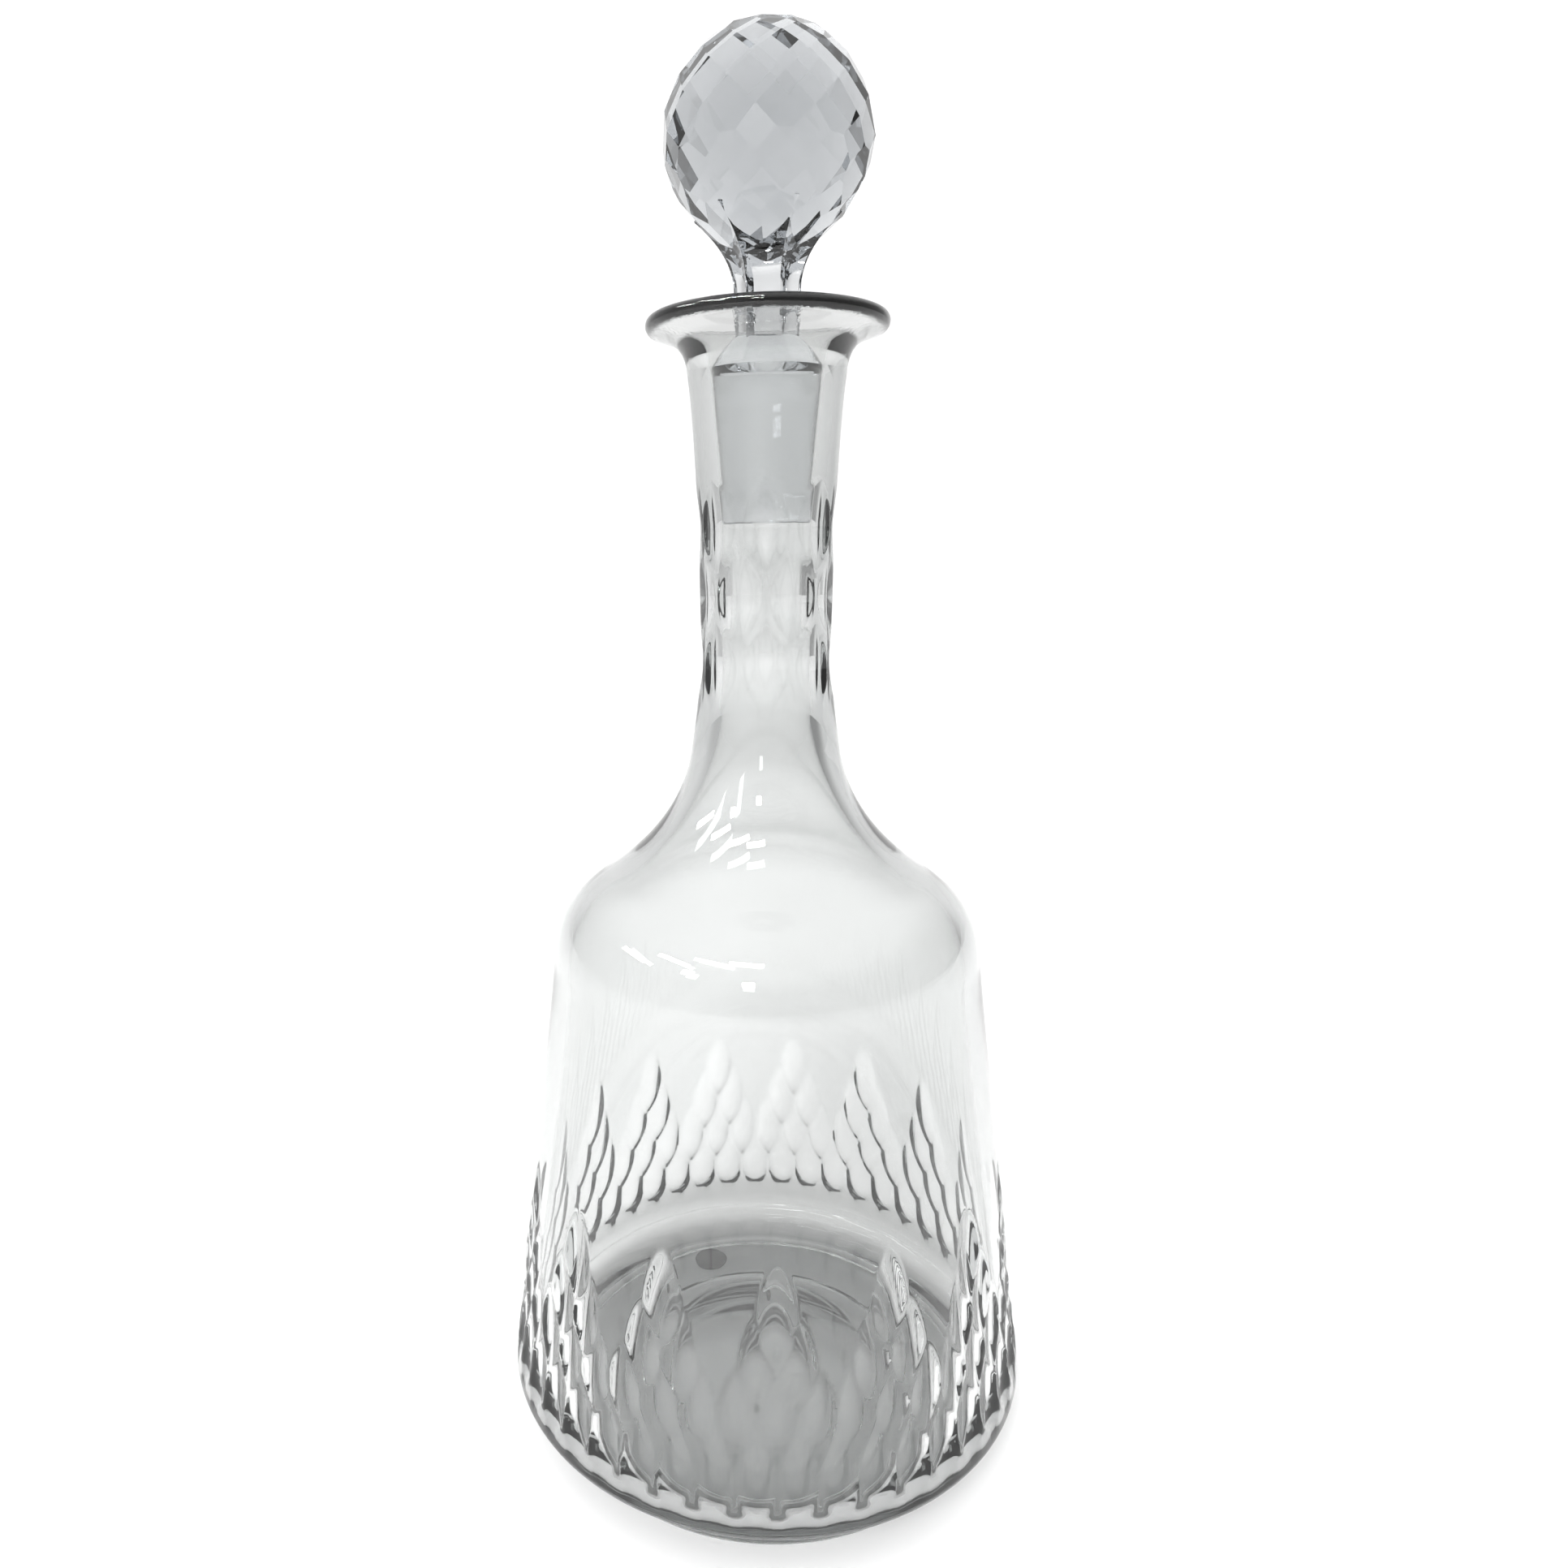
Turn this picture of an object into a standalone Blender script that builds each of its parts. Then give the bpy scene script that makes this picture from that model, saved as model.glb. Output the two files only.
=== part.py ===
"""Wine decanter with its ground-in stopper and a small paper label under the base.

The origin is at the centre of the base, +Z runs up the axis, and everything is in metres.
The body and the plug are turned shapes. The stopper's ball is cut with rows of lozenge facets,
and its stem is cut with hollow panels.
"""

import math

import bmesh
import bpy
from mathutils import Vector

MM = 0.001

# Base
FOOT_R = 52.6 * MM
FOOT_HEIGHT = 8.0 * MM
RING_OUTER_R = 51.6 * MM     # the flat ring that the base rests on
RING_INNER_R = 50.2 * MM
RECESS_DEPTH = 0.6 * MM     # shallow recess inside the resting ring
STEP_R = 36.5 * MM          # a sloped step up to the deeper middle
STEP_DEPTH = 2.6 * MM
MIDDLE_R = 27.6 * MM
MIDDLE_DEPTH = 3.3 * MM
HEEL_Z = 14.5 * MM          # where the side is widest
HEEL_R = 62.1 * MM

# Body, from the heel up to the shoulder
SHOULDER_Z = 116.0 * MM
SHOULDER_R = 48.4 * MM
SLOPE_Z = 134.0 * MM        # middle of the slope between shoulder and neck
SLOPE_R = 36.6 * MM
FLOOR_Z = 6.0 * MM          # inside bottom, on the axis
BOWL_HEIGHT = 12.0 * MM     # from there up to where the cavity is widest
BOWL_POWER = 4.0            # 2 would be an ellipse; more is flatter with a tighter turn
INSIDE_R = 58.2 * MM        # cavity radius at its widest

# Neck and lip
NECK_Z = 188.0 * MM
NECK_R = 14.05 * MM
LIP_Z = 248.3 * MM
LIP_R = 24.6 * MM
LIP_TUBE = 1.6 * MM

# Ground seat between plug and neck
SEAT_LOW_Z = 210.0 * MM
SEAT_HIGH_Z = 240.0 * MM
PLUG_LOW_R = 8.6 * MM
PLUG_HIGH_R = 11.2 * MM
PLUG_SHOULDER = 5.5 * MM    # height of the cone between plug and stem
CLEARANCE = 0.3 * MM

# Stopper
STEM_Z = 255.0 * MM         # the stem's waist
STEM_R = 6.8 * MM           # out to the edges between its panels
BALL_Z = 281.0 * MM
BALL_R = 20.6 * MM
TABLE_HEIGHT = 17.4 * MM    # flat top of the ball, above its centre
FACET_DISTANCE = 20.0 * MM  # from the ball's centre to the flat of each facet
LOW_FACET_DISTANCE = 19.3 * MM
FACETS_AROUND = 12
STEM_PANELS = 6
BALL_TURN = 9.0              # degrees that the facets and panels are turned about the axis
STEM_TURN = -8.0

# Label
LABEL_X = -16.0 * MM
LABEL_Y = 42.1 * MM
LABEL_LONG = 4.9 * MM
LABEL_WIDE = 4.7 * MM
LABEL_THICK = 0.25 * MM

TURNED_STEPS = 48


def clear_scene():
    for thing in list(bpy.data.objects):
        bpy.data.objects.remove(thing, do_unlink=True)


def glass(name, colour, roughness):
    material = bpy.data.materials.new(name)
    material.use_nodes = True
    shader = material.node_tree.nodes["Principled BSDF"]
    shader.inputs["Base Color"].default_value = (*colour, 1.0)
    shader.inputs["Metallic"].default_value = 0.0
    shader.inputs["Roughness"].default_value = roughness
    shader.inputs["IOR"].default_value = 1.52
    shader.inputs["Transmission Weight"].default_value = 1.0
    return material


def paper(name, colour):
    material = bpy.data.materials.new(name)
    material.use_nodes = True
    shader = material.node_tree.nodes["Principled BSDF"]
    shader.inputs["Base Color"].default_value = (*colour, 1.0)
    shader.inputs["Metallic"].default_value = 0.0
    shader.inputs["Roughness"].default_value = 0.8
    return material


def arc(centre_r, centre_z, radius, start_deg, end_deg, steps):
    """Points (r, z) along a round stretch of an outline; 0 degrees points outwards, 90 up."""
    points = []
    for i in range(steps + 1):
        angle = math.radians(start_deg + (end_deg - start_deg) * i / steps)
        points.append((centre_r + radius * math.cos(angle), centre_z + radius * math.sin(angle)))
    return points


def bezier(p0, p1, p2, p3, steps):
    """Points (r, z) along a cubic curve, without its first point."""
    points = []
    for i in range(1, steps + 1):
        t = i / steps
        s = 1.0 - t
        weights = (s * s * s, 3 * s * s * t, 3 * s * t * t, t * t * t)
        corners = (p0, p1, p2, p3)
        r = sum(w * c[0] for w, c in zip(weights, corners))
        z = sum(w * c[1] for w, c in zip(weights, corners))
        points.append((r, z))
    return points


def turned(name, outline, material, steps=TURNED_STEPS):
    """A closed solid of revolution. The outline runs from the axis round to the axis again."""
    mesh = bpy.data.meshes.new(name)
    work = bmesh.new()
    rings = []
    for r, z in outline:
        if r < 1e-7:
            rings.append([work.verts.new((0.0, 0.0, z))])
            continue
        ring = []
        for k in range(steps):
            angle = 2.0 * math.pi * k / steps
            ring.append(work.verts.new((r * math.cos(angle), r * math.sin(angle), z)))
        rings.append(ring)
    for low, high in zip(rings[:-1], rings[1:]):
        for k in range(steps):
            n = (k + 1) % steps
            if len(low) == 1:
                work.faces.new((low[0], high[n], high[k]))
            elif len(high) == 1:
                work.faces.new((low[k], low[n], high[0]))
            else:
                work.faces.new((low[k], low[n], high[n], high[k]))
    bmesh.ops.recalc_face_normals(work, faces=work.faces)
    work.to_mesh(mesh)
    work.free()
    mesh.materials.append(material)
    mesh.shade_smooth()
    mesh.set_sharp_from_angle(angle=math.radians(35))
    thing = bpy.data.objects.new(name, mesh)
    bpy.context.collection.objects.link(thing)
    return thing


def base_outline():
    """Underside and foot, from the axis outwards and up to the widest point."""
    return [
        (0.0, MIDDLE_DEPTH),
        (MIDDLE_R - 1.2 * MM, MIDDLE_DEPTH),
        (MIDDLE_R, STEP_DEPTH + 0.1 * MM),
        (STEP_R - 2.0 * MM, STEP_DEPTH),
        (STEP_R, RECESS_DEPTH + 0.1 * MM),
        (RING_INNER_R - 0.3 * MM, RECESS_DEPTH),
        (RING_INNER_R, 0.0),
        (RING_OUTER_R, 0.0),
        (FOOT_R - 0.3 * MM, 0.4 * MM),
        (FOOT_R, 1.4 * MM),
        (FOOT_R + 1.0 * MM, FOOT_HEIGHT * 0.6),
        (FOOT_R + 3.0 * MM, FOOT_HEIGHT),
        (HEEL_R - 3.6 * MM, HEEL_Z - 4.6 * MM),
    ] + arc(HEEL_R - 3.4 * MM, HEEL_Z - 1.0 * MM, 3.4 * MM, -75, 4, 5)


def side_outline():
    """Outside from the widest point to the under edge of the lip."""
    heel = (HEEL_R, HEEL_Z)
    shoulder = (SHOULDER_R, SHOULDER_Z)
    slope = (SLOPE_R, SLOPE_Z)
    neck_foot = (16.1 * MM, 164.0 * MM)
    neck = (NECK_R, NECK_Z)
    throat = (16.4 * MM, 240.5 * MM)
    under_lip = (LIP_R - 1.6 * MM, LIP_Z - LIP_TUBE)
    side = bezier(heel, (59.4 * MM, 38.0 * MM), (52.0 * MM, 86.0 * MM), shoulder, 5)
    bend = bezier(shoulder, (47.6 * MM, 125.5 * MM), (43.0 * MM, 129.8 * MM), slope, 6)
    hollow = bezier(slope, (26.2 * MM, 141.0 * MM), (17.4 * MM, 151.0 * MM), neck_foot, 7)
    rise = bezier(neck_foot, (14.9 * MM, 171.0 * MM), (14.0 * MM, 180.0 * MM), neck, 3)
    tube = bezier(neck, (14.1 * MM, 212.0 * MM), (15.2 * MM, 232.0 * MM), throat, 4)
    flare = bezier(throat, (17.2 * MM, 245.2 * MM), (20.0 * MM, 245.6 * MM), under_lip, 4)
    return side + bend + hollow + rise + tube + flare


def lip_outline():
    """The round rim, from under the lip to its top."""
    return arc(LIP_R - LIP_TUBE, LIP_Z, LIP_TUBE, -60, 90, 5)


def bore_outline():
    """Inside, from the rim down the funnel, the ground seat and the neck to the shoulder."""
    funnel_top = (LIP_R - 3.2 * MM, LIP_Z + LIP_TUBE * 0.8)
    seat_high = (PLUG_HIGH_R + CLEARANCE, SEAT_HIGH_Z)
    seat_low = (PLUG_LOW_R + CLEARANCE, SEAT_LOW_Z)
    throat = (9.2 * MM, 174.0 * MM)
    inner_slope = (32.6 * MM, 131.6 * MM)
    inner_shoulder = (44.6 * MM, 114.0 * MM)
    inner_foot = (INSIDE_R, FLOOR_Z + BOWL_HEIGHT)
    points = [funnel_top]
    points += bezier(funnel_top, (16.5 * MM, 247.2 * MM), (12.3 * MM, 244.5 * MM), seat_high, 5)
    points.append(seat_low)
    points += bezier(seat_low, (8.8 * MM, 198.0 * MM), (8.8 * MM, 186.0 * MM), throat, 3)
    points += bezier(throat, (9.9 * MM, 158.0 * MM), (20.0 * MM, 139.0 * MM), inner_slope, 6)
    points += bezier(inner_slope, (39.8 * MM, 127.2 * MM), (43.8 * MM, 123.0 * MM), inner_shoulder, 5)
    points += bezier(inner_shoulder, (47.8 * MM, 84.0 * MM), (55.4 * MM, 38.0 * MM), inner_foot, 4)
    return points


def floor_outline():
    """The bowl-shaped bottom of the cavity, ending on the axis."""
    steps = 9
    points = []
    for i in range(1, steps):
        angle = 0.5 * math.pi * i / steps
        r = INSIDE_R * math.cos(angle) ** (2.0 / BOWL_POWER)
        z = FLOOR_Z + BOWL_HEIGHT * (1.0 - math.sin(angle) ** (2.0 / BOWL_POWER))
        points.append((r, z))
    return points + [(0.0, FLOOR_Z)]


def make_body():
    outline = base_outline() + side_outline() + lip_outline() + bore_outline() + floor_outline()
    clear = glass("clear_glass", (0.93, 0.95, 0.945), 0.02)
    return turned("decanter_body", outline, clear)


def keep_below(work, centre, normal):
    """Cuts a convex solid with a plane, keeps the side against the normal and closes the cut."""
    geometry = work.verts[:] + work.edges[:] + work.faces[:]
    cut = bmesh.ops.bisect_plane(
        work,
        geom=geometry,
        dist=1e-7,
        plane_co=centre,
        plane_no=normal,
        clear_outer=True,
    )
    edges = [e for e in cut["geom_cut"] if isinstance(e, bmesh.types.BMEdge)]
    if edges:
        bmesh.ops.contextual_create(work, geom=edges)


def facet_rows():
    """(latitude, first angle) of each row of lozenges. A row's lozenges are as tall as they are wide."""
    half_step = 180.0 / FACETS_AROUND
    rows = [(0.0, 0.0)]
    latitude = 0.0
    shift = 0.0
    for _ in range(4):
        latitude += half_step * math.cos(math.radians(latitude + half_step * 0.45))
        shift = half_step - shift
        rows.append((latitude, shift))
        rows.append((-latitude, shift))
    return rows


def facets():
    """(normal, distance from the centre) of every lozenge. Those on the ball's underside are cut deeper."""
    found = []
    for latitude, first in facet_rows():
        tilt = math.radians(latitude)
        distance = LOW_FACET_DISTANCE if latitude < -20.0 else FACET_DISTANCE
        for k in range(FACETS_AROUND):
            turn = math.radians(BALL_TURN + first + 360.0 * k / FACETS_AROUND)
            flat = math.cos(tilt)
            normal = Vector((flat * math.cos(turn), flat * math.sin(turn), math.sin(tilt)))
            found.append((normal, distance))
    return found


def make_ball():
    """The faceted ball: a block trimmed by one plane for each facet."""
    mesh = bpy.data.meshes.new("ball")
    work = bmesh.new()
    bmesh.ops.create_cube(work, size=2.2 * BALL_R)
    bmesh.ops.translate(work, vec=(0.0, 0.0, BALL_Z), verts=work.verts)
    centre = Vector((0.0, 0.0, BALL_Z))
    for normal, distance in facets():
        keep_below(work, centre + normal * distance, normal)
    up = Vector((0.0, 0.0, 1.0))
    keep_below(work, centre + up * TABLE_HEIGHT, up)
    bmesh.ops.recalc_face_normals(work, faces=work.faces)
    work.to_mesh(mesh)
    work.free()
    thing = bpy.data.objects.new("ball", mesh)
    bpy.context.collection.objects.link(thing)
    return thing


def stem_radius(z):
    """Distance from the axis to the edges between the stem's panels, either side of the waist."""
    low = SEAT_HIGH_Z
    high = BALL_Z - BALL_R * 0.55
    if z < STEM_Z:
        t = (STEM_Z - z) / (STEM_Z - low)
        return STEM_R - 0.5 * MM * math.sin(math.pi * 0.5 * t)
    t = (z - STEM_Z) / (high - STEM_Z)
    return STEM_R + 10.0 * MM * t ** 2.0


def make_stem():
    """The six-sided stem, from inside the ball down to the top of the plug."""
    mesh = bpy.data.meshes.new("stem")
    work = bmesh.new()
    low = SEAT_HIGH_Z + 0.2 * MM
    high = BALL_Z - BALL_R * 0.62
    levels = 8
    rings = []
    for i in range(levels + 1):
        z = low + (high - low) * i / levels
        corner = stem_radius(z)
        ring = []
        for k in range(STEM_PANELS):
            angle = math.radians(STEM_TURN + 360.0 * k / STEM_PANELS)
            ring.append(work.verts.new((corner * math.cos(angle), corner * math.sin(angle), z)))
        rings.append(ring)
    for a, b in zip(rings[:-1], rings[1:]):
        for k in range(STEM_PANELS):
            n = (k + 1) % STEM_PANELS
            work.faces.new((a[k], a[n], b[n], b[k]))
    work.faces.new(rings[0][::-1])
    work.faces.new(rings[-1])
    bmesh.ops.recalc_face_normals(work, faces=work.faces)
    work.to_mesh(mesh)
    work.free()
    thing = bpy.data.objects.new("stem", mesh)
    bpy.context.collection.objects.link(thing)
    return thing


def plug_outline():
    """The tapered plug with its softened end and the shoulder that meets the stem."""
    end = 0.6 * MM
    return [
        (0.0, SEAT_LOW_Z),
        (PLUG_LOW_R - end, SEAT_LOW_Z),
        (PLUG_LOW_R, SEAT_LOW_Z + end),
        (PLUG_HIGH_R, SEAT_HIGH_Z),
        (PLUG_HIGH_R - 0.3 * MM, SEAT_HIGH_Z + 0.5 * MM),
        (STEM_R * 0.85, SEAT_HIGH_Z + PLUG_SHOULDER),
        (0.0, SEAT_HIGH_Z + PLUG_SHOULDER),
    ]


def join(target, tool):
    """Unites tool with target and keeps tool as a hidden guide."""
    union = target.modifiers.new("join_" + tool.name, "BOOLEAN")
    union.operation = "UNION"
    union.solver = "EXACT"
    union.object = tool
    tool.hide_render = True
    tool.display_type = "WIRE"


def make_stopper():
    grey = glass("stopper_glass", (0.86, 0.87, 0.90), 0.02)
    stopper = turned("stopper", plug_outline(), grey, 36)
    stem = make_stem()
    ball = make_ball()
    join(stopper, stem)
    join(stopper, ball)
    return stopper


def make_label():
    """A thin round of paper, held just under the recessed underside of the base."""
    top = RECESS_DEPTH - 0.3 * MM
    mesh = bpy.data.meshes.new("base_label")
    work = bmesh.new()
    steps = 24
    rings = []
    for z in (top - LABEL_THICK, top):
        ring = []
        for k in range(steps):
            angle = 2.0 * math.pi * k / steps
            x = LABEL_X + LABEL_LONG * math.cos(angle)
            y = LABEL_Y + LABEL_WIDE * math.sin(angle)
            ring.append(work.verts.new((x, y, z)))
        rings.append(ring)
    for k in range(steps):
        n = (k + 1) % steps
        work.faces.new((rings[0][k], rings[0][n], rings[1][n], rings[1][k]))
    work.faces.new(rings[0][::-1])
    work.faces.new(rings[1])
    bmesh.ops.recalc_face_normals(work, faces=work.faces)
    work.to_mesh(mesh)
    work.free()
    mesh.materials.append(paper("label_paper", (0.33, 0.28, 0.25)))
    thing = bpy.data.objects.new("base_label", mesh)
    bpy.context.collection.objects.link(thing)
    return thing


clear_scene()
make_body()
make_stopper()
make_label()
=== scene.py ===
"""Cut-glass wine decanter with its stopper and a small paper label under the base.

The turned outline, the cut drops round the body, the cut olives round the neck and the stopper's
facets are all made here at full resolution, in metres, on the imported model's frame: the axis is Z
and the base rests on z = 0.
"""

import math

import bmesh
import bpy
import numpy as np
from mathutils import Matrix, Vector


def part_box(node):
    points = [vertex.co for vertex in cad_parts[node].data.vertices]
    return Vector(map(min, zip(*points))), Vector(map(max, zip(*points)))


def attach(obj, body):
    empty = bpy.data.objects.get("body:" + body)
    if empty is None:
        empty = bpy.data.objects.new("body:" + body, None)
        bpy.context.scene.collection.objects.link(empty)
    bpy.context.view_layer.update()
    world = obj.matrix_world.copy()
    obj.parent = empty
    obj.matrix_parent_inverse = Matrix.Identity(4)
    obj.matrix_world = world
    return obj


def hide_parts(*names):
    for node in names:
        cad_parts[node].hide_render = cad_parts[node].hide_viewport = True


MM = 0.001

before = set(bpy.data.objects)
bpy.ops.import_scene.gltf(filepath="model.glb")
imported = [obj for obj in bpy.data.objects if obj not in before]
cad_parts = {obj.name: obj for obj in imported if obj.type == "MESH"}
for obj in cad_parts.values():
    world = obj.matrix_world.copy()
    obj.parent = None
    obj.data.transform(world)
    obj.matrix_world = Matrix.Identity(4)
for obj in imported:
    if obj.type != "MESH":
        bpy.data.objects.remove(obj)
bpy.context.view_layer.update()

# ---------------------------------------------------------------- outline of the body, in mm

FOOT_R = 52.6
FOOT_HEIGHT = 8.0
# radius and height from the axis out: a deep middle, a sloped step, a shallow recess, the ring
UNDERSIDE = ((0.0, 3.3), (26.4, 3.3), (27.6, 2.7), (34.5, 2.6), (36.5, 0.7), (49.9, 0.6), (50.2, 0.0))
HEEL_R = 62.1                   # the side is widest here
HEEL_Z = 14.5
HEEL_TURN_R = 3.4
FLOOR_Z = 6.0
BOWL_HEIGHT = 12.0              # from the inside bottom up to where the cavity is widest
BOWL_STEPS = 40
BOWL_POWER = 4.0                # 2 would be an ellipse; more is flatter with a tighter turn
INSIDE_R = 58.2

SHOULDER = (48.4, 116.0)
SLOPE = (36.6, 134.0)
NECK_FOOT = (16.1, 164.0)
NECK = (14.05, 188.0)
THROAT = (16.4, 240.5)
LIP_R = 24.6
LIP_Z = 248.3
LIP_TUBE = 1.6                  # half the rim's thickness
LIP_STEPS = 14
LIP_POWER = 2.1                 # 2 would be a round rim; more is squarer

# ground seat between the stopper's plug and the neck
SEAT_LOW_Z = 210.0
SEAT_HIGH_Z = 240.0
PLUG_LOW_R = 8.6
PLUG_HIGH_R = 11.2
CLEARANCE = 0.3
SEAT_LOW = (PLUG_LOW_R + CLEARANCE, SEAT_LOW_Z)
SEAT_HIGH = (PLUG_HIGH_R + CLEARANCE, SEAT_HIGH_Z)

BORE_NECK = (9.2, 174.0)
INNER_SLOPE = (32.6, 131.6)
INNER_SHOULDER = (44.6, 114.0)

# the two pull points of each curve, named after the place that it leaves
SIDE_PULLS = ((59.4, 38.0), (52.0, 86.0))
SHOULDER_PULLS = ((47.6, 125.5), (43.0, 129.8))
SLOPE_PULLS = ((26.2, 141.0), (17.4, 151.0))
NECK_FOOT_PULLS = ((14.9, 171.0), (14.0, 180.0))
NECK_PULLS = ((14.1, 212.0), (15.2, 232.0))
THROAT_PULLS = ((17.2, 245.2), (20.0, 245.6))
FUNNEL_PULLS = ((16.5, 247.2), (12.3, 244.5))
SEAT_PULLS = ((8.8, 198.0), (8.8, 186.0))
BORE_PULLS = ((9.9, 158.0), (20.0, 139.0))
INNER_SLOPE_PULLS = ((39.8, 127.2), (43.8, 123.0))
INNER_SIDE_PULLS = ((47.8, 84.0), (55.4, 38.0))

# ---------------------------------------------------------------- cut pattern, in mm and degrees

FLAMES = 15
DROPS = 3 * FLAMES
DROP_ROWS = 4                   # the third has two drops for each flame and the top one has one
DROP_LOW = 16.6                 # lowest edge of the bottom row
DROP_STEP = 10.6                # from one row up to the next
DROP_DOWN = 7.0                 # from a drop's widest place down to its round end
DROP_UP = 15.0                  # and up to its point
DROP_HALF = 4.5                 # half width
DROP_DEPTH = 1.5
DROP_POINT = 1.4                # how sharp a drop's upper point is
FLAME_TURN = 2.7                # degrees from the front towards +X
BAND = (14.8, 72.0)             # heights that hold the drops

OLIVES = 8                      # in a row
OLIVE_ROWS = (180.8, 195.2, 209.4)
OLIVE_HALF = 4.8
OLIVE_LONG = 9.2                # half length
OLIVE_DEPTH = 0.75
OLIVE_BAND = (171.0, 219.0)     # heights that hold the olives
OLIVE_SHADE = 0.4               # how far the olives take a cut's painted light and shade

PAINTED_SHADE_NAME = "painted_glass_shade"      # vertex attribute: a factor on the body's colour that carries painted shade on the heel and painted light and shade on the cuts
CUT_PAINTED_LIGHT = 0.07              # painted light: how much lighter the colour is in the middle of a cut
EDGE_PAINTED_SHADE = 0.10              # painted shade: how much darker the colour is along the cut's edge
EDGE_SHARE = 0.12               # share of the depth over which the edge fades
HEEL_BAND = (1.0, 18.5, 21.5)   # heights of the painted shade on the thick heel: full from the first to the second, gone by the third
# colour factor of the heel's painted shade
HEEL_PAINTED_SHADE = 0.62

# vertices round a ring
COARSE = 180
BAND_STEPS = 720
NECK_STEPS = 360

# distance from one ring to the next, in mm
BAND_RISE = 0.85
OLIVE_RISE = 0.7
CURVE_RISE = 1.4
PLAIN_RISE = 3.0
THROAT_Z = 240.0
SHOULDER_BEND = (112.0, 170.0)


def arc(centre, radius, start_deg, end_deg, steps):
    """Points on an arc, with both ends."""
    points = []
    for i in range(steps + 1):
        angle = math.radians(start_deg + (end_deg - start_deg) * i / steps)
        points.append((centre[0] + radius * math.cos(angle), centre[1] + radius * math.sin(angle)))
    return points


def bezier(p0, p1, p2, p3, steps):
    """Points on a cubic curve, without its first."""
    t = np.linspace(0.0, 1.0, steps + 1)[1:, None]
    s = 1.0 - t
    p0, p1, p2, p3 = (np.array(p, float) for p in (p0, p1, p2, p3))
    curve = s**3 * p0 + 3 * s * s * t * p1 + 3 * s * t * t * p2 + t**3 * p3
    return [tuple(p) for p in curve]


def base_outline():
    """Underside, foot and the turn up to the heel."""
    points = [
        *UNDERSIDE,
        (FOOT_R - 1.0, 0.0),
        (FOOT_R - 0.3, 0.4),
        (FOOT_R, 1.4),
        (FOOT_R + 1.0, FOOT_HEIGHT * 0.6),
        (FOOT_R + 3.0, FOOT_HEIGHT),
        (HEEL_R - 3.6, HEEL_Z - 4.6),
    ]
    return points + arc((HEEL_R - HEEL_TURN_R, HEEL_Z - 1.0), HEEL_TURN_R, -75, 4, 10)


def side_curve():
    """Outside from the heel up to the under edge of the lip, as a fine curve."""
    heel = (HEEL_R, HEEL_Z)
    under = (LIP_R - LIP_TUBE, LIP_Z - LIP_TUBE)
    points = [heel]
    points += bezier(heel, *SIDE_PULLS, SHOULDER, 200)
    points += bezier(SHOULDER, *SHOULDER_PULLS, SLOPE, 60)
    points += bezier(SLOPE, *SLOPE_PULLS, NECK_FOOT, 80)
    points += bezier(NECK_FOOT, *NECK_FOOT_PULLS, NECK, 60)
    points += bezier(NECK, *NECK_PULLS, THROAT, 120)
    points += bezier(THROAT, *THROAT_PULLS, under, 40)
    return np.array(points)


def resample(curve, steps_of):
    """Points along the curve, spaced as steps_of(z) says in mm."""
    length = np.concatenate([[0.0], np.cumsum(np.hypot(*np.diff(curve, axis=0).T))])
    out = [0.0]
    while out[-1] < length[-1]:
        z = np.interp(out[-1], length, curve[:, 1])
        out.append(out[-1] + steps_of(z))
    out = np.array(out[:-1])
    if length[-1] - out[-1] < 0.3 * steps_of(curve[-1, 1]):
        out = out[:-1]
    out = np.append(out, length[-1])
    return np.column_stack([np.interp(out, length, curve[:, i]) for i in (0, 1)])


def row_step(z):
    """Distance between rings at height z: short where there are cuts or tight curves."""
    if BAND[0] <= z <= BAND[1]:
        return BAND_RISE
    if OLIVE_BAND[0] <= z <= OLIVE_BAND[1]:
        return OLIVE_RISE
    if z > THROAT_Z or SHOULDER_BEND[0] < z < SHOULDER_BEND[1]:
        return CURVE_RISE
    return PLAIN_RISE


def lip_outline():
    """The rim: a nearly round edge, from under its outside to its top."""
    points = []
    for i in range(LIP_STEPS + 1):
        angle = math.radians(-60.0 + 150.0 * i / LIP_STEPS)
        out = abs(math.cos(angle)) ** (2.0 / LIP_POWER)
        up = math.copysign(abs(math.sin(angle)) ** (2.0 / LIP_POWER), angle)
        points.append((LIP_R - LIP_TUBE + LIP_TUBE * out, LIP_Z + LIP_TUBE * up))
    return points


def bore_outline():
    """Inside, from the funnel down to the bottom of the cavity."""
    funnel_top = (LIP_R - 3.2, LIP_Z + LIP_TUBE * 0.8)
    foot = (INSIDE_R, FLOOR_Z + BOWL_HEIGHT)
    points = [funnel_top]
    points += bezier(funnel_top, *FUNNEL_PULLS, SEAT_HIGH, 14)
    points.append(SEAT_LOW)
    points += bezier(SEAT_LOW, *SEAT_PULLS, BORE_NECK, 8)
    points += bezier(BORE_NECK, *BORE_PULLS, INNER_SLOPE, 22)
    points += bezier(INNER_SLOPE, *INNER_SLOPE_PULLS, INNER_SHOULDER, 14)
    points += bezier(INNER_SHOULDER, *INNER_SIDE_PULLS, foot, 16)
    for i in range(1, BOWL_STEPS):
        angle = 0.5 * math.pi * i / BOWL_STEPS
        r = INSIDE_R * math.cos(angle) ** (2.0 / BOWL_POWER)
        z = FLOOR_Z + BOWL_HEIGHT * (1.0 - math.sin(angle) ** (2.0 / BOWL_POWER))
        points.append((r, z))
    return points


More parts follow.
